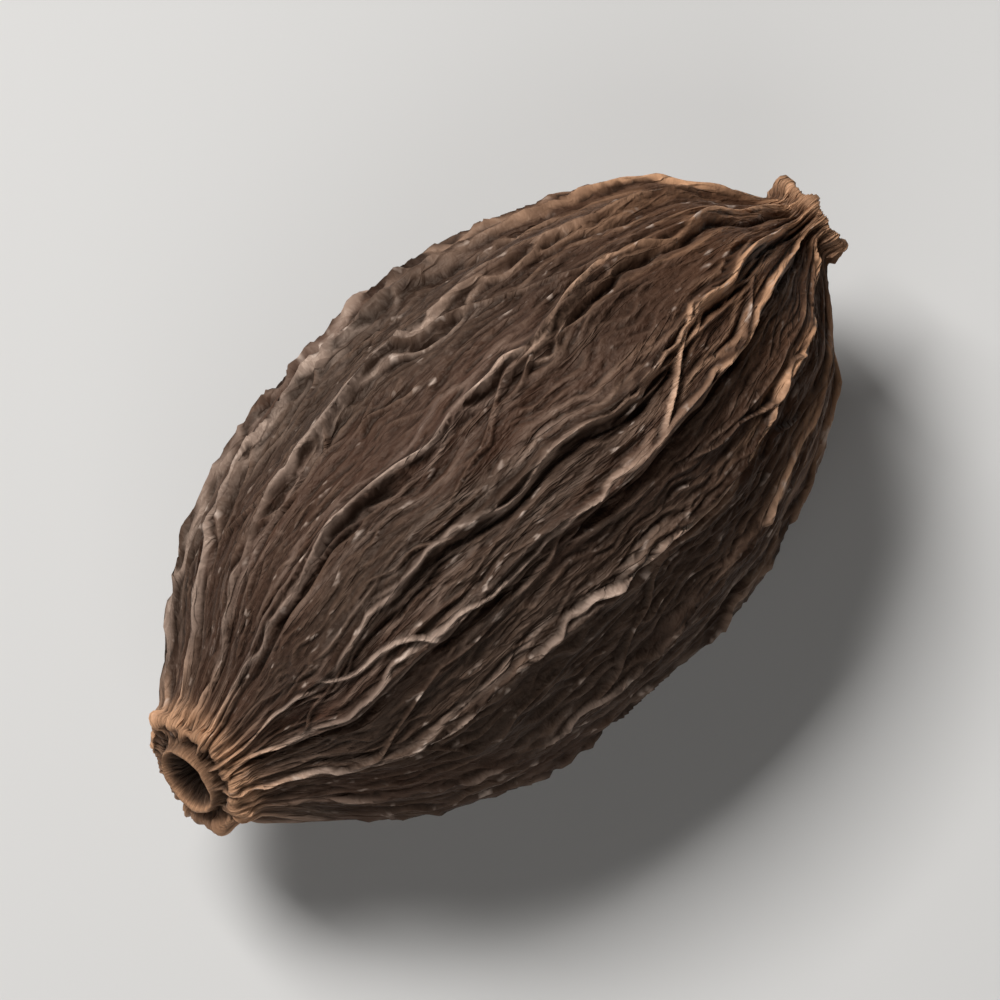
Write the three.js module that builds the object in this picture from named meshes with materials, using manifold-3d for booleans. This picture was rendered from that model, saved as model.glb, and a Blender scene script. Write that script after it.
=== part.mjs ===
// Black cardamom pod: a dried, closed seed capsule lying on its side.
// Millimetres, +Z up. The long axis runs along X, with the stem ring at the -X end.
import * as THREE from "three";
import { mergeVertices } from "three/addons/utils/BufferGeometryUtils.js";
import Module from "manifold-3d";

// Driving dimensions
const POD_LENGTH = 31.5;
const POD_RADIUS = 8.75;
const AXIS_HEIGHT = 8.35; // of the long axis above the surface that the pod rests on
const STEM_RING_RADIUS = 2.4;
const STEM_HOLE_RADIUS = 0.75;
const STEM_HOLE_DEPTH = 1.3;
const STEM_LEAN = 20; // degrees that the ring's face looks up
const STEM_LEAN_REACH = 0.2; // share of the length in which the lean dies out
const CALYX_RADIUS = 1.7;
const CALYX_DIMPLE_DEPTH = 0.9;

// The body's outline: share of the pod's length, then share of its radius
const BODY_OUTLINE = [
  [0.045, 0.3], [0.095, 0.455], [0.155, 0.655], [0.22, 0.8], [0.33, 0.935], [0.52, 1],
  [0.65, 0.95], [0.76, 0.815], [0.86, 0.63], [0.91, 0.43], [0.945, 0.28],
];

// Section: three faint lobes, one of them on top
const LOBES = 3;
const LOBE_SHARE = 0.03;

// Ribs: degrees round the long axis, from the top towards the front (-Y)
const RIB_ANGLES = [10, 25, 48, 74, 96, 118, 141, 165, 190, 213, 236, 258, 279, 300, 322, 347];
const RIB_HEIGHT = 0.35;
const RIB_TWIST = -10; // degrees from end to end
const RIB_WANDER = 2.4; // degrees to either side
const RIB_WAVES = 1.7; // along the pod
const RIB_RIPPLE = 0.9; // degrees, a shorter wave on top of the wander
const RIB_RIPPLES = 4.6;
const FURROW_SHARE = 0.13; // depth between two ribs, as a share of their distance
const FURROW_SKEW = 0.53; // under 1, a furrow is deepest near its first rib
const REST_FURROW_SHARE = 0; // the same under the pod, where it lies
const REST_RIB = RIB_ANGLES.indexOf(165);

// One low vein wanders between each two ribs
const VEIN_HEIGHT = 0.32;
const VEIN_SPREAD = 0.13; // half width, as a share of the ribs' distance
const VEIN_WANDER = 0.26;
const VEIN_WAVES = 1.1;

// Mesh density
const COLUMNS_PER_RIB = 6;
const STEM_ROWS = 8;
const BODY_ROWS = 34;
const CALYX_ROWS = 6;

const wasm = await Module();
wasm.setup();

// A fixed number from 0 to 1 for each rib, so that no two follow the same path.
function scatter(rib, salt) {
  const wave = Math.sin(rib * 12.9898 + salt * 78.233) * 437.585;
  return wave - Math.floor(wave);
}

// The half outline, from the pit of the stem ring over the body to the dimple in the calyx.
// x is the distance from the long axis and y the place along it.
function outlinePoints() {
  const stemEnd = -POD_LENGTH / 2;
  const calyxEnd = POD_LENGTH / 2;
  const body = BODY_OUTLINE.map(([along, radius]) =>
    new THREE.Vector2(radius * POD_RADIUS, stemEnd + along * POD_LENGTH));
  const stemRing = [
    new THREE.Vector2(0, stemEnd + STEM_HOLE_DEPTH),
    new THREE.Vector2(0.7 * STEM_HOLE_RADIUS, stemEnd + 0.9 * STEM_HOLE_DEPTH),
    new THREE.Vector2(STEM_HOLE_RADIUS, stemEnd + 0.4 * STEM_HOLE_DEPTH),
    new THREE.Vector2(0.48 * STEM_RING_RADIUS, stemEnd),
    new THREE.Vector2(0.68 * STEM_RING_RADIUS, stemEnd + 0.35),
    new THREE.Vector2(0.88 * STEM_RING_RADIUS, stemEnd + 0.25),
    new THREE.Vector2(STEM_RING_RADIUS, stemEnd + 0.75),
    body[0],
  ];
  const calyx = [
    body[body.length - 1],
    new THREE.Vector2(CALYX_RADIUS, calyxEnd - 0.9),
    new THREE.Vector2(CALYX_RADIUS, calyxEnd),
    new THREE.Vector2(0.6 * CALYX_RADIUS, calyxEnd - 0.2 * CALYX_DIMPLE_DEPTH),
    new THREE.Vector2(0.3 * CALYX_RADIUS, calyxEnd - 0.8 * CALYX_DIMPLE_DEPTH),
    new THREE.Vector2(0, calyxEnd - CALYX_DIMPLE_DEPTH),
  ];
  return [
    ...new THREE.SplineCurve(stemRing).getPoints(STEM_ROWS),
    ...new THREE.SplineCurve(body).getSpacedPoints(BODY_ROWS).slice(1, -1),
    ...new THREE.SplineCurve(calyx).getPoints(CALYX_ROWS),
  ];
}

// The angle of a rib at a share of the pod's length. Ribs past the last one go on round the pod.
function ribAngle(rib, along) {
  const own = rib % RIB_ANGLES.length;
  const turns = (rib - own) / RIB_ANGLES.length;
  const wander = RIB_WANDER * Math.sin(2 * Math.PI * (RIB_WAVES * along + scatter(own, 1)));
  const ripple = RIB_RIPPLE * Math.sin(2 * Math.PI * (RIB_RIPPLES * along + scatter(own, 3)));
  const degrees = RIB_ANGLES[own] + 360 * turns + RIB_TWIST * (along - 0.5) + wander + ripple;
  return THREE.MathUtils.degToRad(degrees);
}

// How far the skin stands out at a share of the way from one rib to the next.
function relief(rib, across, along, spacing) {
  const furrowShare = rib === REST_RIB ? REST_FURROW_SHARE : FURROW_SHARE;
  const skewed = across ** FURROW_SKEW;
  const furrow = furrowShare * spacing * 4 * skewed * (1 - skewed);
  const crest = RIB_HEIGHT * Math.max(0, 1 - 4 * Math.min(across, 1 - across));
  const veinPath = 0.5 + VEIN_WANDER * Math.sin(2 * Math.PI * (VEIN_WAVES * along + scatter(rib, 2)));
  const vein = VEIN_HEIGHT * Math.exp(-(((across - veinPath) / VEIN_SPREAD) ** 2));
  return Math.min(1, spacing) * (crest + vein) - furrow;
}

// A lathe of the outline, with each column moved onto its rib or furrow.
function ribbedSkin() {
  const points = outlinePoints();
  const columns = RIB_ANGLES.length * COLUMNS_PER_RIB;
  const skin = new THREE.LatheGeometry(points, columns);
  const position = skin.getAttribute("position");
  for (let column = 0; column <= columns; column++) {
    const rib = Math.floor(column / COLUMNS_PER_RIB) % RIB_ANGLES.length;
    const across = (column % COLUMNS_PER_RIB) / COLUMNS_PER_RIB;
    points.forEach((point, row) => {
      const along = point.y / POD_LENGTH + 0.5;
      const from = ribAngle(rib, along);
      const to = ribAngle(rib + 1, along);
      const angle = THREE.MathUtils.lerp(from, to, across);
      const spacing = point.x * (to - from);
      const ribbed = THREE.MathUtils.smoothstep(along, 0.02, 0.08);
      const lobes = 1 + ribbed * LOBE_SHARE * Math.cos(LOBES * angle);
      const radius = point.x * lobes + ribbed * relief(rib, across, along, spacing);
      const height = radius * Math.cos(angle);
      const leaning = 1 - THREE.MathUtils.smoothstep(along, 0, STEM_LEAN_REACH);
      const lean = leaning * height * Math.tan(THREE.MathUtils.degToRad(STEM_LEAN));
      const vertex = column * points.length + row;
      position.setXYZ(vertex, radius * Math.sin(angle), point.y + lean, height);
    });
  }
  return skin.rotateZ(-Math.PI / 2);
}

function toSolid(geometry) {
  geometry.deleteAttribute("normal");
  geometry.deleteAttribute("uv");
  const merged = mergeVertices(geometry, 1e-3);
  const vertProperties = new Float32Array(merged.getAttribute("position").array);
  const triVerts = new Uint32Array(merged.getIndex().array);
  return new wasm.Manifold(new wasm.Mesh({ numProp: 3, vertProperties, triVerts }));
}

function toGeometry(solid) {
  const mesh = solid.getMesh();
  const geometry = new THREE.BufferGeometry();
  geometry.setAttribute("position", new THREE.BufferAttribute(mesh.vertProperties, 3));
  geometry.setIndex(new THREE.BufferAttribute(mesh.triVerts, 1));
  geometry.computeVertexNormals();
  return geometry;
}

// The pod with the small flat spot that it lies on.
function makePod() {
  const below = new THREE.BoxGeometry(2 * POD_LENGTH, 4 * POD_RADIUS, POD_RADIUS);
  below.translate(0, 0, -AXIS_HEIGHT - POD_RADIUS / 2);
  const geometry = toGeometry(toSolid(ribbedSkin()).subtract(toSolid(below)));
  const husk = new THREE.MeshStandardMaterial({ color: 0x43352d, roughness: 0.6, metalness: 0 });
  const pod = new THREE.Mesh(geometry, husk);
  pod.name = "pod";
  geometry.computeBoundingBox();
  const centre = geometry.boundingBox.getCenter(new THREE.Vector3());
  pod.position.set(-centre.x, -centre.y, AXIS_HEIGHT);
  return pod;
}

const part = new THREE.Group();
part.add(makePod());

export default part;
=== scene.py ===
import math

import bpy
import numpy as np
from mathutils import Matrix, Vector


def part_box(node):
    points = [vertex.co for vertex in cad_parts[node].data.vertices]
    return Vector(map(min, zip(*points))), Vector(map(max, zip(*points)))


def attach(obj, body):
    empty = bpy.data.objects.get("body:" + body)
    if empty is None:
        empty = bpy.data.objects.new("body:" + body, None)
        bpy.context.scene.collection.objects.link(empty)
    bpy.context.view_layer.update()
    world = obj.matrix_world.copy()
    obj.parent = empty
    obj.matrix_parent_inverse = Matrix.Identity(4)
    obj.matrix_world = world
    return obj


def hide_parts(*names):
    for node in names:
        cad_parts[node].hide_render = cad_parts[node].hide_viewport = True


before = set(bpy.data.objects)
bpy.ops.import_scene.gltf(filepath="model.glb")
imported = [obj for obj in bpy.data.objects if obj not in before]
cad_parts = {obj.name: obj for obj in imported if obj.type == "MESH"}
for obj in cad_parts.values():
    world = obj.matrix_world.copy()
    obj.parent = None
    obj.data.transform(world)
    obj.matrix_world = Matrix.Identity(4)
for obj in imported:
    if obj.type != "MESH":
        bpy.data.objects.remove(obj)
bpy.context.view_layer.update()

# Driving dimensions, in metres
MM = 0.001
POD_LENGTH = 31.5 * MM
POD_RADIUS = 8.75 * MM
AXIS_HEIGHT = 8.35 * MM  # of the long axis above the floor
STEM_RING_RADIUS = 2.4 * MM
STEM_HOLE_RADIUS = 0.75 * MM
STEM_HOLE_DEPTH = 1.3 * MM
STEM_LEAN = 20  # degrees that the ring's face looks up
STEM_LEAN_REACH = 0.2  # share of the length in which the lean dies out
CALYX_RADIUS = 1.7 * MM
CALYX_DIMPLE_DEPTH = 0.9 * MM

# The body's outline: share of the pod's length, then share of its radius
BODY_OUTLINE = (
    (0.045, 0.3), (0.095, 0.455), (0.155, 0.655), (0.22, 0.8), (0.33, 0.935), (0.52, 1),
    (0.65, 0.95), (0.76, 0.815), (0.86, 0.63), (0.91, 0.43), (0.945, 0.28),
)

# Section: three faint lobes, one of them on top
LOBES = 3
LOBE_SHARE = 0.03

# Ribs: degrees round the long axis, from the top towards the front (-Y)
RIB_ANGLES = (10, 25, 48, 74, 96, 118, 141, 165, 190, 213, 236, 258, 279, 300, 322, 347)
RIBS = len(RIB_ANGLES)
RIB_HEIGHT = 0.26 * MM
RIB_STEEPNESS = 4.5  # a rib ends one part in this of the way to the next rib
RIB_SHARPNESS = 1.8
RIB_TWIST = -10  # degrees from end to end
RIB_WANDER = 2.4  # degrees to either side
RIB_WAVES = 1.7  # along the pod
RIB_RIPPLE = 0.9  # degrees, a shorter wave on top of the wander
RIB_RIPPLES = 4.6
FURROW_SHARE = 0.13  # depth between two ribs, as a share of their distance
FURROW_SKEW = 0.53  # under 1, a furrow is deepest near its first rib
REST_FURROW_SHARE = 0  # the same under the pod, where it lies
REST_RIB = RIB_ANGLES.index(165)

# One low vein wanders between each two ribs
VEIN_HEIGHT = 0.16 * MM
VEIN_SPREAD = 0.1  # half width, as a share of the ribs' distance
VEIN_WANDER = 0.26
VEIN_WAVES = 1.1

# Strands: thin raised lines on and between the ribs and veins
STRAND_HEIGHT = 0.38 * MM
STRAND_HALF_WIDTH = 0.15 * MM
STRAND_ROUNDNESS = 1.6  # of the section: 1 is a sharp roof, 2 a round one
STRAND_SPLIT = 0.25 * MM
STRAND_MEANDER = 0.27 * MM
STRAND_KINK = 0.09 * MM
STRAND_SLANT = 2  # a strand that slants to larger angles is widened for no more slope than this
FAINTEST = 1e-6  # below this a strand isn't laid
LINKS_PER_PANEL = 3

# A rib's strands: millimetres from the middle of the rib, then share of the full height
RIB_STRANDS = ((-0.8, 0.2), (-0.32, 0.25), (0, 1), (0.34, 0.4), (0.85, 0.2))

# The strength of the ribs that stand out most
BOLD_RIBS = {0: 1.35, 1: 1.05, 2: 1.2, 15: 1.2}

# Bold strands: the rib that each leaves, the share of the length there, and where it meets the next rib
BRANCHES = ((0, 0.77, 0.64), (0, 0.17, 0.3))

# Grooves on both sides of a rib
GROOVE_DISTANCE = 0.5 * MM
GROOVE_MEANDER = 0.15 * MM
GROOVE_DEPTH = 0.38 * MM
GROOVE_HALF_WIDTH = 0.26 * MM
SHALLOW_GROOVE_SHARE = 0.4

# Dashes: short low strands on the panels
DASHES_PER_PANEL = 40
DASH_HEIGHT = 0.15 * MM
DASH_HALF_WIDTH = 0.12 * MM
DASH_WAVE = 0.16 * MM

# Fine relief between the strands, and the lumps of both ends
WRINKLE_HEIGHT = 0.165 * MM
CRINKLE_HEIGHT = 0.1 * MM
STRIATION_HEIGHT = 0.04 * MM
DENT_HEIGHT = 0.13 * MM
KNOB_HEIGHT = 0.45 * MM
LIP_WAVE_HEIGHT = 0.16 * MM
RAG_HEIGHT = 0.5 * MM

# Relief that counts as a full edge or furrow, and the patch of points that it is measured against
EDGE_RELIEF = 0.06 * MM
EDGE_REACH = 4
FURROW_RELIEF = 0.4 * MM
FURROW_REACH = 16

# Colours of the husk, and of its painted glints and painted shade
PANEL_DARK = (0.0145, 0.0062, 0.0034, 1)
PANEL_LIGHT = (0.032, 0.0165, 0.0103, 1)
PANEL_GREY = (0.068, 0.0435, 0.0315, 1)
# Thread lines, and also the painted highlight on raised edges
THREAD_AND_EDGE_HIGHLIGHT = (0.15, 0.092, 0.063, 1)
RUSSET = (0.07, 0.027, 0.015, 1)
CREST = (0.42, 0.305, 0.24, 1)
CREST_END = (0.72, 0.395, 0.22, 1)
# The colour of painted glints: small painted highlights on worn strands and raised edges
GLINT_PAINT_COLOUR = (0.54, 0.42, 0.345, 1)
COLLAR = (0.17, 0.074, 0.034, 1)
# The colour of painted shade in creases, furrows, the stem hole, the ring's groove and the calyx dimple
PAINTED_SHADE = (0.012, 0.0048, 0.0022, 1)
SHEEN = (1, 0.8, 0.65, 1)

# How much of each colour shows
STREAK_SHARE = 0.35
THREAD_SHARE = 0.4
PATCH_SHARE = 0.65
RUSSET_END_SHARE = 0.35
COLLAR_SHARE = 0.35
FURROW_SHADE = 0.5
SHADE_SHARE = 0.9

# Gloss and grain of the husk
SPECULAR = 0.32
ROUGHNESS = 0.62
WORN_ROUGHNESS = 0.32
BUMP_STRENGTH = 0.85
BUMP_DISTANCE = 0.09 * MM
GRAIN_SHARE = 0.4

# Mesh density
ROWS = 720
COLUMNS = 960
GRID = (ROWS, COLUMNS)
SPLINE_STEPS = 400
FACE_LIMIT = 196_000

# Floor, camera and lights: angles in degrees, distances and sizes in metres
FLOOR_REACH = 2
FLOOR_COLOUR = (0.6, 0.59, 0.575, 1)
FLOOR_ROUGHNESS = 0.9
CAMERA_AZIMUTH = -42.8
CAMERA_ELEVATION = 76.7
CAMERA_DISTANCE = 0.225
CAMERA_LENS = 220  # millimetres
WORLD_STRENGTH = 0.24

# Each light's name, azimuth, elevation, distance, size and power in watts
LIGHTS = (
    ("key", -176, 58, 0.35, 0.14, 1.5),
    ("fill", -50, 40, 0.4, 0.3, 0.45),
)

TURN = 2 * math.pi
SEED = 11
rng = np.random.default_rng(SEED)


def scatter(rib, salt):
    """A fixed number from 0 to 1 for each rib, the same as in the solid."""
    level = math.sin(rib * 12.9898 + salt * 78.233) * 437.585
    return level - math.floor(level)


def smoothstep(low, high, value):
    share = np.clip((value - low) / (high - low), 0, 1)
    return share * share * (3 - 2 * share)


def band(low, high, fade, value):
    """1 between low and high and 0 outside, with a fade to both sides of each."""
    return smoothstep(low - fade, low + fade, value) - smoothstep(high - fade, high + fade, value)


def bell(middle, spread, value):
    return np.exp(-(((value - middle) / spread) ** 2))


def wave(waves, start, along):
    """A sine along the pod that starts at a share of one wave."""
    return np.sin(TURN * (waves * along + start))


def spline(points, steps):
    """Evenly stepped points on the Catmull-Rom curve through the given ones."""
    points = np.asarray(points, float)
    padded = np.vstack([points[:1], points, points[-1:]])
    place = np.linspace(0, len(points) - 1, steps)
    left = np.minimum(place.astype(int), len(points) - 2)
    step = (place - left)[:, None]
    before, start, end, after = (padded[left + offset] for offset in range(4))
    slope_start = (end - before) / 2
    slope_end = (after - start) / 2
    cubic = 2 * start - 2 * end + slope_start + slope_end
    square = -3 * start + 3 * end - 2 * slope_start - slope_end
    return cubic * step**3 + square * step**2 + slope_start * step + start


def outline():
    """Places along X and distances from the axis, from the stem ring's pit to the calyx's dimple."""
    stem_end = -POD_LENGTH / 2
    calyx_end = POD_LENGTH / 2
    body = [(stem_end + along * POD_LENGTH, radius * POD_RADIUS) for along, radius in BODY_OUTLINE]
    stem_ring = [
        (stem_end + STEM_HOLE_DEPTH, 0),
        (stem_end + 0.97 * STEM_HOLE_DEPTH, 0.8 * STEM_HOLE_RADIUS),
        (stem_end + 0.6 * STEM_HOLE_DEPTH, STEM_HOLE_RADIUS),
        (stem_end + 0.15 * MM, 0.49 * STEM_RING_RADIUS),
        (stem_end, 0.53 * STEM_RING_RADIUS),
        (stem_end + 0.12 * MM, 0.565 * STEM_RING_RADIUS),
        (stem_end + 0.6 * MM, 0.62 * STEM_RING_RADIUS),
        (stem_end + 0.5 * MM, 0.75 * STEM_RING_RADIUS),
        (stem_end + 0.3 * MM, 0.88 * STEM_RING_RADIUS),
        (stem_end + 0.5 * MM, 0.97 * STEM_RING_RADIUS),
        (stem_end + 0.9 * MM, STEM_RING_RADIUS),
        body[0],
    ]
    calyx = [
        body[-1],
        (calyx_end - 0.9 * MM, 0.9 * CALYX_RADIUS),
        (calyx_end - 0.15 * MM, CALYX_RADIUS),
        (calyx_end, 0.95 * CALYX_RADIUS),
        (calyx_end - 0.3 * CALYX_DIMPLE_DEPTH, 0.8 * CALYX_RADIUS),
        (calyx_end - 0.8 * CALYX_DIMPLE_DEPTH, 0.5 * CALYX_RADIUS),
        (calyx_end - CALYX_DIMPLE_DEPTH, 0),
    ]
    dense = np.vstack([spline(points, SPLINE_STEPS) for points in (stem_ring, body, calyx)])
    lengths = np.concatenate([[0], np.cumsum(np.hypot(*np.diff(dense, axis=0).T))])
    wanted = np.linspace(0, lengths[-1], ROWS)
    return np.interp(wanted, lengths, dense[:, 0]), np.interp(wanted, lengths, dense[:, 1])


def rib_angle(rib, along):
    """A rib's angle at a share of the pod's length. Ribs past the last one go on round the pod."""
    own = rib % RIBS
    turns = rib // RIBS
    wander = RIB_WANDER * wave(RIB_WAVES, scatter(own, 1), along)
    ripple = RIB_RIPPLE * wave(RIB_RIPPLES, scatter(own, 3), along)
    return np.radians(RIB_ANGLES[own] + 360 * turns + RIB_TWIST * (along - 0.5) + wander + ripple)


def vein_share(rib, along):
    """The share of the way from a rib to the next one at which their vein runs."""
    return 0.5 + VEIN_WANDER * wave(VEIN_WAVES, scatter(rib, 2), along)


def panel_angle(rib, along, across):
    """The angle at a share of the way from a rib to the next one."""
    start = rib_angle(rib, along)
    return start + (rib_angle(rib + 1, along) - start) * across


def noise(skin, cells_around, cells_along, warp=0):
    """Smooth noise on the unwrapped skin, which follows the ribs and closes on itself round the pod."""
    turn = rng.uniform(0, TURN, (cells_along + 2, cells_around))
    slope_around = np.cos(turn)
    slope_along = np.sin(turn)
    u = (skin.around + warp) * cells_around
    v = skin.length * cells_along
    left = np.floor(u).astype(int)
    low = np.floor(v).astype(int)
    u = u - left
    v = v - low

    def corner(step_u, step_v):
        place = (low + step_v, (left + step_u) % cells_around)
        return slope_around[place] * (u - step_u) + slope_along[place] * (v - step_v)

    fade_u = u * u * u * (u * (u * 6 - 15) + 10)
    fade_v = v * v * v * (v * (v * 6 - 15) + 10)
    bottom = corner(0, 0) + fade_u * (corner(1, 0) - corner(0, 0))
    top = corner(0, 1) + fade_u * (corner(1, 1) - corner(0, 1))
    return bottom + fade_v * (top - bottom)


class Skin:
    """The unwrapped skin: one row for each place on the outline, one column for each angle."""

    def __init__(self):
        self.x, self.radius = outline()
        self.along = self.x / POD_LENGTH + 0.5
        self.angle = np.arange(COLUMNS) * TURN / COLUMNS
        self.length = np.broadcast_to(np.linspace(0, 1, ROWS)[:, None], GRID)
        self.slope_x = np.gradient(self.x)
        self.slope_r = np.gradient(self.radius)
        self.row_step = np.maximum(np.hypot(self.slope_x, self.slope_r), 1e-9)
        self.arm = np.maximum(self.radius, MM)  # turns a distance round the pod into an angle
        self.ribbed = smoothstep(0.02, 0.08, self.along)
        self.size = 0.3 + 0.7 * np.clip(self.radius / POD_RADIUS, 0.12, 1)  # of details, less at the ends
        self.rise = smoothstep(0.004, 0.02, self.along) * (1 - smoothstep(0.98, 0.997, self.along))
        self.rise = self.rise * (0.5 + 0.5 * self.size)  # share of its height that a strand has
        self.flank = np.zeros(GRID)
        self.relief = np.zeros(GRID)
        self.around = np.zeros(GRID)
        for rib in range(RIBS):
            self.add_panel(rib)
        lobes = LOBE_SHARE * np.cos(LOBES * self.angle) * self.radius[:, None]
        calyx = 1 - 0.9 * smoothstep(0.95, 0.98, self.along)
        self.relief = (self.ribbed * calyx)[:, None] * (self.relief + lobes)

    def add_panel(self, rib):
        """One panel's furrow, ribs and vein, placed as in the solid, and its share of the way round."""
        start = rib_angle(rib, self.along)[:, None]
        spacing = rib_angle(rib + 1, self.along)[:, None] - start
        across = ((self.angle - start) % TURN) / spacing
        inside = across < 1
        across = np.clip(across, 0, 1)
        gap = spacing * self.radius[:, None]
        skewed = across**FURROW_SKEW
        depth = REST_FURROW_SHARE if rib == REST_RIB else FURROW_SHARE
        furrow = depth * gap * 4 * skewed * (1 - skewed)
        foot = np.clip(1 - RIB_STEEPNESS * np.minimum(across, 1 - across), 0, 1)
        crest = RIB_HEIGHT * foot**RIB_SHARPNESS
        vein = VEIN_HEIGHT * bell(vein_share(rib, self.along)[:, None], VEIN_SPREAD, across)
        own = np.minimum(1, gap / MM) * (crest + vein) - furrow
        self.relief = np.where(inside, own, self.relief)
        self.around = np.where(inside, (rib + across) / RIBS, self.around)
        self.flank = np.where(inside, np.exp(-across * gap / MM), self.flank)

    def wander(self, knots):
        """A smooth random walk from about -1 to 1 along the pod."""
        walk = spline(rng.uniform(-1, 1, (knots, 1)), SPLINE_STEPS)[:, 0]
        return np.interp(self.along, np.linspace(0, 1, SPLINE_STEPS), walk)


def lay_strand(skin, field, path, height, half_width):
    """Raises a strand along a path, given as one angle, height and half width for each row."""
    rows = np.flatnonzero(height > FAINTEST)
    if len(rows) == 0:
        return
    step = TURN / COLUMNS
    radius = np.maximum(skin.radius, 0.3 * MM)
    slope = np.gradient(path) * radius / skin.row_step
    wide = (half_width * np.sqrt(1 + np.minimum(slope, STRAND_SLANT) ** 2))[rows]
    radius = radius[rows, None]
    reach = min(COLUMNS // 4, int(np.ceil((wide / (radius[:, 0] * step)).max())))
    nearest = np.round(path[rows] / step).astype(int)
    columns = nearest[:, None] + np.arange(-reach, reach + 1)
    distance = (columns * step - path[rows, None]) * radius / wide[:, None]
    profile = np.clip(1 - np.abs(distance) ** STRAND_ROUNDNESS, 0, 1)
    place = (rows[:, None], columns % COLUMNS)
    field[place] = np.maximum(field[place], height[rows, None] * profile)


def strands(skin):
    """All raised strands, the grooves beside the ribs, and the worn tops of ribs and branches."""
    raised = np.zeros(GRID)
    sunk = np.zeros(GRID)
    worn = np.zeros(GRID)
    for rib in range(RIBS):
        lay_rib(skin, raised, sunk, worn, rib)
        lay_vein(skin, raised, rib)
        for _ in range(LINKS_PER_PANEL):
            lay_link(skin, raised, rib)
        for _ in range(DASHES_PER_PANEL):
            lay_dash(skin, raised, rib)
    for rib, start, end in BRANCHES:
        lay_branch(skin, raised, worn, rib, start, end)
    return raised, sunk, worn


def lay_rib(skin, raised, sunk, worn, rib):
    """A rib's bundle of strands, their worn tops, and the grooves beside them."""
    strength = BOLD_RIBS.get(rib, rng.uniform(0.7, 0.95))
    middle = rib_angle(rib, skin.along)
    middle = middle + skin.size * STRAND_MEANDER * skin.wander(24) / skin.arm
    for distance, share in RIB_STRANDS:
        apart = STRAND_SPLIT * skin.wander(12) + STRAND_KINK * skin.wander(55)
        path = middle + skin.size * (distance * MM + apart) / skin.arm
        knots = np.clip(0.75 + 0.3 * skin.wander(18) + 0.3 * skin.wander(60), 0, 1.2)
        height = share * STRAND_HEIGHT * strength * skin.rise * knots
        width = STRAND_HALF_WIDTH * skin.size * (1 + 0.3 * skin.wander(30))
        lay_strand(skin, raised, path, height, width)
        light = np.clip(0.65 + 0.5 * skin.wander(9) + 0.5 * (knots - 0.75), 0.25, 1)
        light = share * strength * light * smoothstep(0, 0.02, skin.along)
        lay_strand(skin, worn, path, light, width)
    depth = GROOVE_DEPTH * strength * skin.rise * np.clip(0.7 + 0.6 * skin.wander(14), 0, 1)
    beside = skin.size * (GROOVE_DISTANCE + GROOVE_MEANDER * skin.wander(40)) / skin.arm
    width = GROOVE_HALF_WIDTH * skin.size
    lay_strand(skin, sunk, middle + beside, depth, width)
    lay_strand(skin, sunk, middle - beside, SHALLOW_GROOVE_SHARE * depth, width)


def lay_vein(skin, field, rib):
    """A broken strand on the vein between a rib and the next one."""
    path = panel_angle(rib, skin.along, vein_share(rib, skin.along))
    path = path + skin.size * STRAND_MEANDER * skin.wander(26) / skin.arm
    height = 0.7 * STRAND_HEIGHT * skin.rise * np.clip(0.5 + 0.8 * skin.wander(14), 0, 1)
    lay_strand(skin, field, path, height, 0.85 * STRAND_HALF_WIDTH * skin.size)


def lay_link(skin, field, rib):
    """A strand that leaves one rib or vein and runs slanting to the next."""
    start = rng.uniform(0.05, 0.8)
    end = start + rng.uniform(0.08, 0.25)
    share = smoothstep(start, end, skin.along)
    shares = [0, vein_share(rib, skin.along), 1]
    first = rng.integers(0, 2)
    ends = [shares[first], shares[first + 1]]
    if rng.random() < 0.5:
        ends.reverse()
    path = panel_angle(rib, skin.along, ends[0] + (ends[1] - ends[0]) * share)
    path = path + STRAND_MEANDER * skin.wander(30) / skin.arm
    there = band(start, end, 0.02, skin.along)
    height = rng.uniform(0.5, 1) * STRAND_HEIGHT * skin.rise * there
    lay_strand(skin, field, path, height, 0.8 * STRAND_HALF_WIDTH * skin.size)


def lay_branch(skin, raised, worn, rib, start, end):
    """A bold strand that leaves a rib at one place along the pod and meets the next rib at another."""
    low, high = sorted((start, end))
    path = panel_angle(rib, skin.along, (skin.along - start) / (end - start))
    path = path + STRAND_MEANDER * skin.wander(30) / skin.arm
    there = band(low, high, 0.01, skin.along)
    lay_strand(skin, raised, path, STRAND_HEIGHT * skin.rise * there, STRAND_HALF_WIDTH * skin.size)
    lay_strand(skin, worn, path, 0.9 * there, 1.2 * STRAND_HALF_WIDTH * skin.size)


def lay_dash(skin, field, rib):
    """A short strand on a panel, lower towards both ends."""
    middle = rng.uniform(0.04, 0.97)
    reach = rng.uniform(0.03, 0.13)
    distance = (skin.along - middle) / reach
    across = rng.uniform(0.04, 0.96) + rng.uniform(-0.09, 0.09) * distance
    path = panel_angle(rib, skin.along, np.clip(across, -0.1, 1.1))
    path = path + skin.size * DASH_WAVE * skin.wander(30) / skin.arm
    height = DASH_HEIGHT * rng.uniform(0.4, 1) * skin.rise * np.clip(1 - distance**2, 0, 1)
    lay_strand(skin, field, path, height, DASH_HALF_WIDTH * rng.uniform(0.75, 1.25) * skin.size)


def wrinkles(skin):
    """Thin raised lines that wander between the strands, where two stretched noises cross zero."""
    warp = 0.012 * noise(skin, 30, 26)
    coarse = noise(skin, 76, 8, warp)
    fine = noise(skin, 140, 17, warp)
    return 0.7 * bell(0, 0.16, coarse) + 0.55 * bell(0, 0.2, fine)


def crinkles(skin):
    """Short wrinkles across the foot of each rib, and a pebbled skin all over."""
    cross = noise(skin, 70, 130)
    pebble = noise(skin, 230, 190)
    return (0.15 + 0.85 * skin.flank) * np.abs(cross) + 0.35 * pebble


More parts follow.
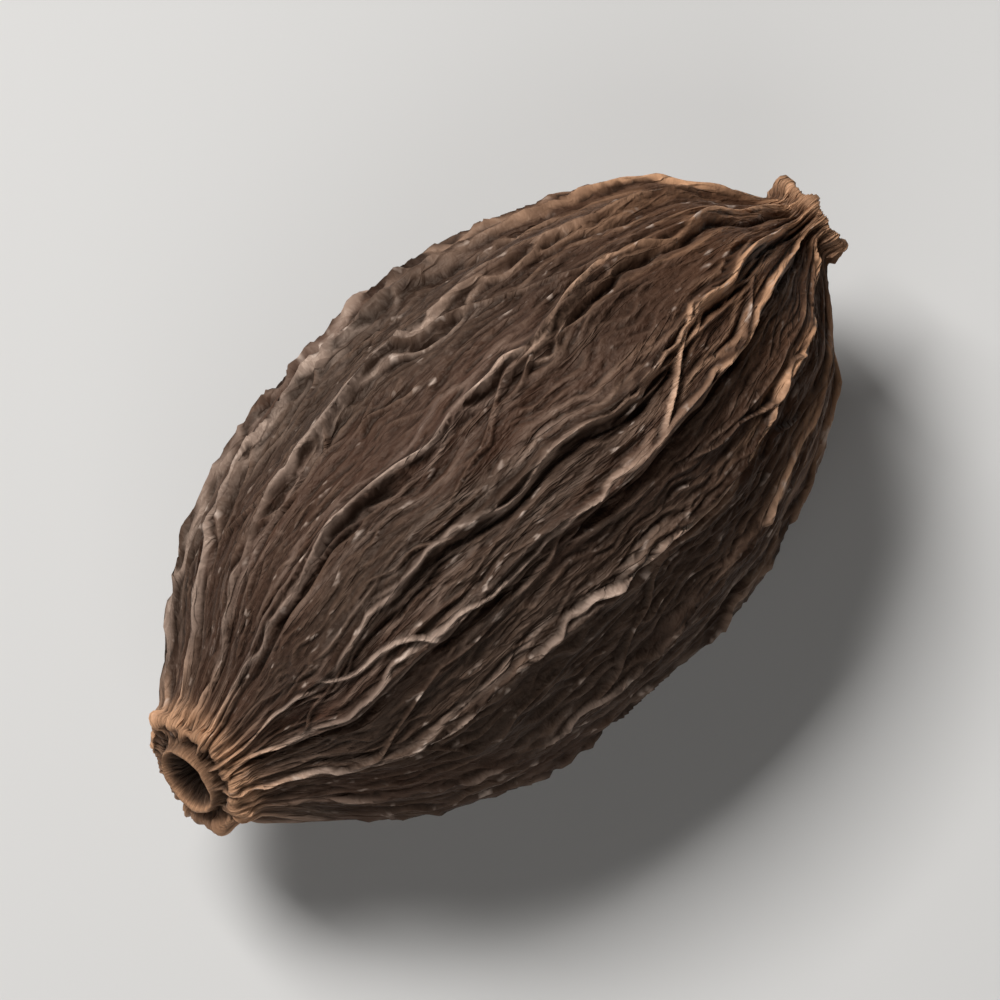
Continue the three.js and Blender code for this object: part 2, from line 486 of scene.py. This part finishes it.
def end_lumps(skin):
    """Knobs on the outer edge of the stem ring, waves on its lip and a ragged rim on the calyx."""
    ring = smoothstep(1.6 * MM, 2 * MM, skin.radius) * (1 - smoothstep(0.02, 0.05, skin.along))
    lip = (1 - smoothstep(1.4 * MM, 1.7 * MM, skin.radius)) * (1 - smoothstep(0.005, 0.03, skin.along))
    rim = smoothstep(0.965, 0.998, skin.along)
    knobs = noise(skin, 13, 30) + 0.8 * noise(skin, 37, 60)
    waves = noise(skin, 7, 12) + 0.3 * noise(skin, 17, 60)
    rags = noise(skin, 7, 30) + 0.7 * noise(skin, 19, 40)
    lumps = KNOB_HEIGHT * ring[:, None] * knobs + LIP_WAVE_HEIGHT * lip[:, None] * waves
    return lumps + RAG_HEIGHT * rim[:, None] * rags


def blur(field, reach):
    """The mean of the field over a square patch; it wraps round the pod and stops at its ends."""
    padded = np.pad(field, ((reach, reach), (0, 0)), mode="edge")
    rows = sum(padded[step:step + ROWS] for step in range(2 * reach + 1))
    columns = sum(np.roll(rows, step, axis=1) for step in range(-reach, reach + 1))
    return columns / (2 * reach + 1) ** 2


def build_skin():
    """Each point's place, and the values that its colours follow."""
    skin = Skin()
    raised, sunk, worn = strands(skin)
    wrinkle = wrinkles(skin)
    striation = noise(skin, 240, 10) + 0.7 * noise(skin, 330, 18)
    dent = noise(skin, 22, 12) + 1.2 * noise(skin, 11, 7)
    crinkle = crinkles(skin)
    bare = 1 - np.clip(raised / (0.4 * STRAND_HEIGHT), 0, 1)
    size = (skin.ribbed * skin.size)[:, None]
    fine = raised - sunk * bare
    fine = fine + size * bare * (WRINKLE_HEIGHT * wrinkle - CRINKLE_HEIGHT * crinkle)
    fine = fine + size * (STRIATION_HEIGHT * striation + DENT_HEIGHT * dent)
    fine = fine + end_lumps(skin)
    return surface(skin, fine), layers(skin, fine, worn)


def surface(skin, fine):
    """The fine relief stands square to the outline, the stem ring leans and the underside is flat."""
    x = skin.x[:, None] - (skin.slope_r / skin.row_step)[:, None] * fine
    r = skin.radius[:, None] + skin.relief + (skin.slope_x / skin.row_step)[:, None] * fine
    r = np.maximum(r, 0)
    height = r * np.cos(skin.angle)
    leaning = math.tan(math.radians(STEM_LEAN)) * (1 - smoothstep(0, STEM_LEAN_REACH, skin.along))
    x = x + leaning[:, None] * height
    return np.stack([x, -r * np.sin(skin.angle), np.maximum(height + AXIS_HEIGHT, 0)], axis=-1)


def end_marks(skin):
    """Where the stem ring and the calyx have light rims, and hollows that get painted shade, as values for
    each row.
    """
    row = np.arange(ROWS)
    face = row < np.argmax(skin.radius > 0.97 * STEM_RING_RADIUS)
    cup = row > np.argmax(skin.x)
    share = skin.radius / STEM_RING_RADIUS
    lip = face * bell(0.53, 0.045, share)
    edge = (skin.along < 0.05) * bell(0.93, 0.1, share)
    hole = face * (1 - smoothstep(0.38, 0.52, share))
    groove = 0.9 * face * bell(0.65, 0.07, share)
    cup_depth = cup * smoothstep(0, CALYX_DIMPLE_DEPTH, skin.x.max() - skin.x)
    cup_rim = bell(POD_LENGTH / 2, 0.35 * MM, skin.x) * bell(CALYX_RADIUS, 0.35 * MM, skin.radius)
    rim = np.maximum.reduce([lip, 0.8 * edge, 0.8 * cup_rim])
    # Where shade is painted: the stem hole, the groove inside the ring and the calyx dimple, deeper in
    # darker
    pit = np.maximum.reduce([hole, groove, cup_depth])
    return rim, pit


def layers(skin, fine, worn):
    """Values from 0 to 1 for the colours, and the fibre, a place on the pod that follows the ribs."""
    total = skin.relief + fine
    near = (fine - blur(fine, EDGE_REACH)) / EDGE_RELIEF
    wide = (total - blur(total, FURROW_REACH)) / FURROW_RELIEF
    ends = 0.75 - 0.75 * smoothstep(0.015, 0.11, skin.along) + smoothstep(0.45, 0.92, skin.along)
    rim, pit = end_marks(skin)
    turn = TURN * skin.around
    fibre = [POD_RADIUS * np.cos(turn), POD_RADIUS * np.sin(turn), POD_LENGTH * skin.length]
    return {
        # Convex fine relief, painted lighter: partly painted highlight, partly the lighter tone of raised
        # fibres
        "edge": np.clip(near, 0, 1),
        # Concave fine relief, where shade is painted
        "crease_shade": np.clip(-near, 0, 1),
        "worn": np.clip(worn * (1 + 0.5 * ends[:, None]), 0, 1),
        # Broad concave relief, where a lighter painted shade goes
        "furrow": np.clip(-wide, 0, 1),
        "ends": np.broadcast_to(ends[:, None], GRID),
        "rim": np.broadcast_to(rim[:, None], GRID),
        # The stem hole, the ring's groove and the calyx dimple, where shade is painted
        "pit": np.broadcast_to(pit[:, None], GRID),
        "fibre": np.stack(fibre, axis=-1),
    }


def at_points(values):
    """Values in the order of the mesh's points: the inner rows, then one mean for each end row."""
    values = values.reshape(ROWS, COLUMNS, -1)
    inner = values[1:-1].reshape(-1, values.shape[2])
    return np.vstack([inner, values[0].mean(axis=0), values[-1].mean(axis=0)])


def skin_mesh(name, places, values):
    """A closed mesh of the skin, with each end row drawn together to one point."""
    count = (ROWS - 2) * COLUMNS
    grid = np.arange(count).reshape(ROWS - 2, COLUMNS)
    right = np.roll(grid, -1, axis=1)
    quads = np.stack([grid[:-1], right[:-1], right[1:], grid[1:]], axis=-1).reshape(-1, 4)
    stem_fan = np.stack([np.full(COLUMNS, count), right[0], grid[0]], axis=-1)
    calyx_fan = np.stack([np.full(COLUMNS, count + 1), grid[-1], right[-1]], axis=-1)
    faces = [*quads.tolist(), *stem_fan.tolist(), *calyx_fan.tolist()]
    mesh = bpy.data.meshes.new(name)
    mesh.from_pydata(at_points(places).tolist(), [], faces)
    for layer, value in values.items():
        add_layer(mesh, layer, at_points(value))
    mesh.update()
    return mesh


def add_layer(mesh, name, values):
    """Stores one number or one vector on each point of the mesh."""
    vector = values.shape[1] == 3
    attribute = mesh.attributes.new(name, "FLOAT_VECTOR" if vector else "FLOAT", "POINT")
    attribute.data.foreach_set("vector" if vector else "value", values.astype(np.float32).ravel())


def add_object(name, data):
    thing = bpy.data.objects.new(name, data)
    bpy.context.scene.collection.objects.link(thing)
    return thing


def thinned(mesh):
    """The mesh in triangles, with about as many as the face limit."""
    dense = add_object("dense", mesh)
    thin = dense.modifiers.new("thin", "DECIMATE")
    thin.ratio = FACE_LIMIT / (2 * ROWS * COLUMNS)
    thin.use_collapse_triangulate = True
    graph = bpy.context.evaluated_depsgraph_get()
    result = bpy.data.meshes.new_from_object(dense.evaluated_get(graph), depsgraph=graph)
    bpy.data.objects.remove(dense)
    return result


def make_pod():
    """The skin as one piece, centred on the solid that it replaces."""
    places, values = build_skin()
    lowest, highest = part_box("pod")
    points = places.reshape(-1, 3)
    middle = (points.min(axis=0) + points.max(axis=0)) / 2
    places[..., 0] += (lowest.x + highest.x) / 2 - middle[0]
    places[..., 1] += (lowest.y + highest.y) / 2 - middle[1]
    mesh = thinned(skin_mesh("dense", places, values))
    mesh.name = "pod_skin"
    mesh.shade_smooth()
    unwrap(mesh)
    mesh.materials.append(make_material())
    return add_object("pod_skin", mesh)


def unwrap(mesh):
    """A flat map of the skin's triangles, with the ribs upright and its seam at the first rib."""
    corners = np.empty(len(mesh.loops), np.int32)
    mesh.loops.foreach_get("vertex_index", corners)
    fibre = np.empty(3 * len(mesh.vertices), np.float32)
    mesh.attributes["fibre"].data.foreach_get("vector", fibre)
    x, y, length = fibre.reshape(-1, 3)[corners].T
    turn = (np.arctan2(y, x) / TURN % 1).reshape(-1, 3)
    pole = np.hypot(x, y).reshape(-1, 3) < 0.5 * POD_RADIUS
    turn = np.where(pole, np.roll(turn, 1, axis=1), turn)
    crosses_seam = np.ptp(turn, axis=1, keepdims=True) > 0.5
    turn = np.where(crosses_seam & (turn < 0.5), turn + 1, turn)
    flat = np.stack([turn.ravel() / turn.max(), length / POD_LENGTH], axis=-1)
    mesh.uv_layers.new(name="OFBake").data.foreach_set("uv", flat.astype(np.float32).ravel())


class Nodes:
    """Short ways to add and join a material's nodes."""

    def __init__(self, material):
        material.use_nodes = True
        self.tree = material.node_tree
        self.shader = self.tree.nodes["Principled BSDF"]

    def set(self, socket, value):
        if isinstance(value, bpy.types.NodeSocket):
            self.tree.links.new(value, socket)
        else:
            socket.default_value = value

    def layer(self, name, output="Fac"):
        node = self.tree.nodes.new("ShaderNodeAttribute")
        node.attribute_name = name
        return node.outputs[output]

    def math(self, operation, *values, clamp=True):
        node = self.tree.nodes.new("ShaderNodeMath")
        node.operation = operation
        node.use_clamp = clamp
        for socket, value in zip(node.inputs, values):
            self.set(socket, value)
        return node.outputs[0]

    def spread(self, value, low, high, first=0, last=1):
        """A value mapped so that low becomes first and high becomes last, and held between them."""
        node = self.tree.nodes.new("ShaderNodeMapRange")
        numbers = {"From Min": low, "From Max": high, "To Min": first, "To Max": last}
        for name, number in numbers.items():
            node.inputs[name].default_value = number
        self.set(node.inputs["Value"], value)
        return node.outputs["Result"]

    def noise(self, grain, feature, detail, low=0.3, high=0.7, waviness=0):
        """Noise with features of a size in metres, drawn out along the ribs by the grain, from 0 to 1."""
        stretch = self.tree.nodes.new("ShaderNodeMapping")
        stretch.inputs["Scale"].default_value = (1, 1, 1 / grain)
        self.set(stretch.inputs["Vector"], self.layer("fibre", "Vector"))
        texture = self.tree.nodes.new("ShaderNodeTexNoise")
        texture.inputs["Scale"].default_value = 1 / feature
        texture.inputs["Detail"].default_value = detail
        texture.inputs["Distortion"].default_value = waviness
        self.set(texture.inputs["Vector"], stretch.outputs["Vector"])
        return self.spread(texture.outputs["Fac"], low, high)

    def threads(self, grain, feature, width):
        """Thin lines along the ribs, about a feature apart, where a noise crosses its middle."""
        level = self.noise(grain, feature, detail=1, low=0, high=1, waviness=0.6)
        away = self.math("ABSOLUTE", self.math("SUBTRACT", level, 0.5, clamp=False))
        return self.spread(away, width, 0)

    def mix(self, share, first, second):
        """Two colours mixed; a mix node's colour sockets come after those for numbers and vectors."""
        node = self.tree.nodes.new("ShaderNodeMix")
        node.data_type = "RGBA"
        for socket, value in zip((node.inputs[0], node.inputs[6], node.inputs[7]), (share, first, second)):
            self.set(socket, value)
        return node.outputs[2]


def flecked(nodes, layer, fleck, gain, base):
    """A layer of the skin that the flecks break up, down to a base share of it."""
    return nodes.math("MULTIPLY", nodes.layer(layer), nodes.math("MULTIPLY_ADD", fleck, gain, base))


def thread_lines(nodes, fleck):
    """Two sizes of thin lines, which the flecks break up."""
    fine = nodes.threads(grain=6, feature=0.45 * MM, width=0.06)
    broad = nodes.threads(grain=5, feature=0.8 * MM, width=0.045)
    return nodes.math("MULTIPLY", nodes.math("MAXIMUM", fine, broad), fleck)


def panel_colour(nodes, thread, ends):
    """The dark skin, mottled and streaked, with russet patches and ends."""
    mottle = nodes.noise(grain=4, feature=1.3 * MM, detail=3)
    streak = nodes.noise(grain=9, feature=0.28 * MM, detail=3)
    patch = nodes.noise(grain=2, feature=4.5 * MM, detail=3, low=0.45, high=0.7)
    colour = nodes.mix(mottle, PANEL_DARK, PANEL_LIGHT)
    colour = nodes.mix(nodes.math("MULTIPLY", streak, STREAK_SHARE), colour, PANEL_GREY)
    colour = nodes.mix(nodes.math("MULTIPLY", thread, THREAD_SHARE), colour, THREAD_AND_EDGE_HIGHLIGHT)
    patches = nodes.math("MULTIPLY", patch, PATCH_SHARE)
    russet = nodes.math("MAXIMUM", patches, nodes.math("MULTIPLY", ends, RUSSET_END_SHARE))
    colour = nodes.mix(russet, colour, RUSSET)
    collar = nodes.math("MULTIPLY", nodes.math("POWER", ends, 3), COLLAR_SHARE)
    return nodes.mix(collar, colour, COLLAR)


def crest_colour(nodes, colour, fleck, worn, ends):
    """Lighter raised edges (partly painted highlight, partly the lighter tone of raised fibres), worn
    strands, painted glints, and the rims of both ends, on top of a colour.
    """
    # Raised edges painted lighter: partly painted highlight, partly the lighter tone of raised fibres
    edge = flecked(nodes, "edge", fleck, gain=0.5, base=0.15)
    colour = nodes.mix(edge, colour, THREAD_AND_EDGE_HIGHLIGHT)
    colour = nodes.mix(worn, colour, nodes.mix(ends, CREST, CREST_END))
    # Painted glints: small light spots painted where strands are worn or edges are raised
    painted_glint = nodes.noise(grain=1.4, feature=0.45 * MM, detail=2, low=0.63, high=0.73)
    painted_glint = nodes.math("MULTIPLY", painted_glint, nodes.math("MAXIMUM", worn, nodes.layer("edge")))
    colour = nodes.mix(painted_glint, colour, GLINT_PAINT_COLOUR)
    rim = flecked(nodes, "rim", fleck, gain=0.5, base=0.5)
    return nodes.mix(rim, colour, CREST_END)


def paint_shade(nodes, colour, worn):
    """Painted shade in the hollows, furrows and pits, on top of a colour."""
    # Painted shade: darker colour in creases, broad furrows, the stem hole, the ring's groove and the
    # calyx dimple, less on worn strands
    furrow = nodes.math("MULTIPLY", nodes.layer("furrow"), FURROW_SHADE)
    shade = nodes.math("MAXIMUM", nodes.layer("crease_shade"), furrow)
    shade = nodes.math("SUBTRACT", nodes.math("MULTIPLY", shade, SHADE_SHARE), worn)
    shade = nodes.math("MAXIMUM", shade, nodes.layer("pit"))
    return nodes.mix(shade, colour, PAINTED_SHADE)


def set_gloss(nodes, worn):
    """A satin husk that is glossier where it is worn."""
    inputs = nodes.shader.inputs
    inputs["Specular IOR Level"].default_value = SPECULAR
    inputs["Specular Tint"].default_value = SHEEN
    nodes.set(inputs["Roughness"], nodes.spread(worn, 0, 1, ROUGHNESS, WORN_ROUGHNESS))


def set_grain(nodes, thread):
    """Bump for the grain that is too fine for the mesh."""
    bump = nodes.tree.nodes.new("ShaderNodeBump")
    bump.inputs["Strength"].default_value = BUMP_STRENGTH
    bump.inputs["Distance"].default_value = BUMP_DISTANCE
    lines = nodes.noise(grain=6, feature=0.18 * MM, detail=2)
    pebbles = nodes.noise(grain=1.5, feature=0.14 * MM, detail=2)
    grain = nodes.math("MULTIPLY", nodes.math("ADD", lines, pebbles, clamp=False), GRAIN_SHARE)
    nodes.set(bump.inputs["Height"], nodes.math("ADD", grain, thread, clamp=False))
    nodes.set(nodes.shader.inputs["Normal"], bump.outputs["Normal"])


def make_material():
    material = bpy.data.materials.new("husk")
    nodes = Nodes(material)
    ends = nodes.layer("ends")
    fleck = nodes.noise(grain=3, feature=0.7 * MM, detail=3)
    thread = thread_lines(nodes, fleck)
    worn = flecked(nodes, "worn", fleck, gain=0.85, base=0.35)
    colour = panel_colour(nodes, thread, ends)
    colour = crest_colour(nodes, colour, fleck, worn, ends)
    colour = paint_shade(nodes, colour, worn)
    nodes.set(nodes.shader.inputs["Base Color"], colour)
    set_gloss(nodes, worn)
    set_grain(nodes, thread)
    return material


def make_floor():
    mesh = bpy.data.meshes.new("floor")
    corners = [(x * FLOOR_REACH, y * FLOOR_REACH, 0) for x, y in ((-1, -1), (1, -1), (1, 1), (-1, 1))]
    mesh.from_pydata(corners, [], [(0, 1, 2, 3)])
    material = bpy.data.materials.new("floor")
    material.use_nodes = True
    shader = material.node_tree.nodes["Principled BSDF"]
    shader.inputs["Base Color"].default_value = FLOOR_COLOUR
    shader.inputs["Roughness"].default_value = FLOOR_ROUGHNESS
    mesh.materials.append(material)
    floor = add_object("floor", mesh)


def direction(azimuth, elevation):
    """The unit vector from the pod towards a camera or light at those angles, in degrees."""
    turn = math.radians(azimuth)
    rise = math.radians(elevation)
    return Vector((math.sin(turn) * math.cos(rise), -math.cos(turn) * math.cos(rise), math.sin(rise)))


def aim(thing, place, target):
    thing.location = place
    thing.rotation_euler = (target - place).to_track_quat("-Z", "Y").to_euler()


def make_camera(target):
    camera = add_object("camera", bpy.data.cameras.new("camera"))
    camera.data.lens = CAMERA_LENS
    aim(camera, target + CAMERA_DISTANCE * direction(CAMERA_AZIMUTH, CAMERA_ELEVATION), target)
    bpy.context.scene.camera = camera


def make_light(target, name, azimuth, elevation, distance, size, power):
    light = bpy.data.lights.new(name, "AREA")
    light.size = size
    light.energy = power
    lamp = add_object(name, light)
    aim(lamp, target + distance * direction(azimuth, elevation), target)


def make_world():
    world = bpy.data.worlds.new("studio")
    world.use_nodes = True
    world.node_tree.nodes["Background"].inputs["Strength"].default_value = WORLD_STRENGTH
    bpy.context.scene.world = world
    bpy.context.scene.view_settings.view_transform = "Standard"


target = Vector((0, 0, AXIS_HEIGHT))
make_camera(target)
pod = make_pod()
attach(pod, "root")
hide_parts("pod")
make_floor()
for light in LIGHTS:
    make_light(target, *light)
make_world()
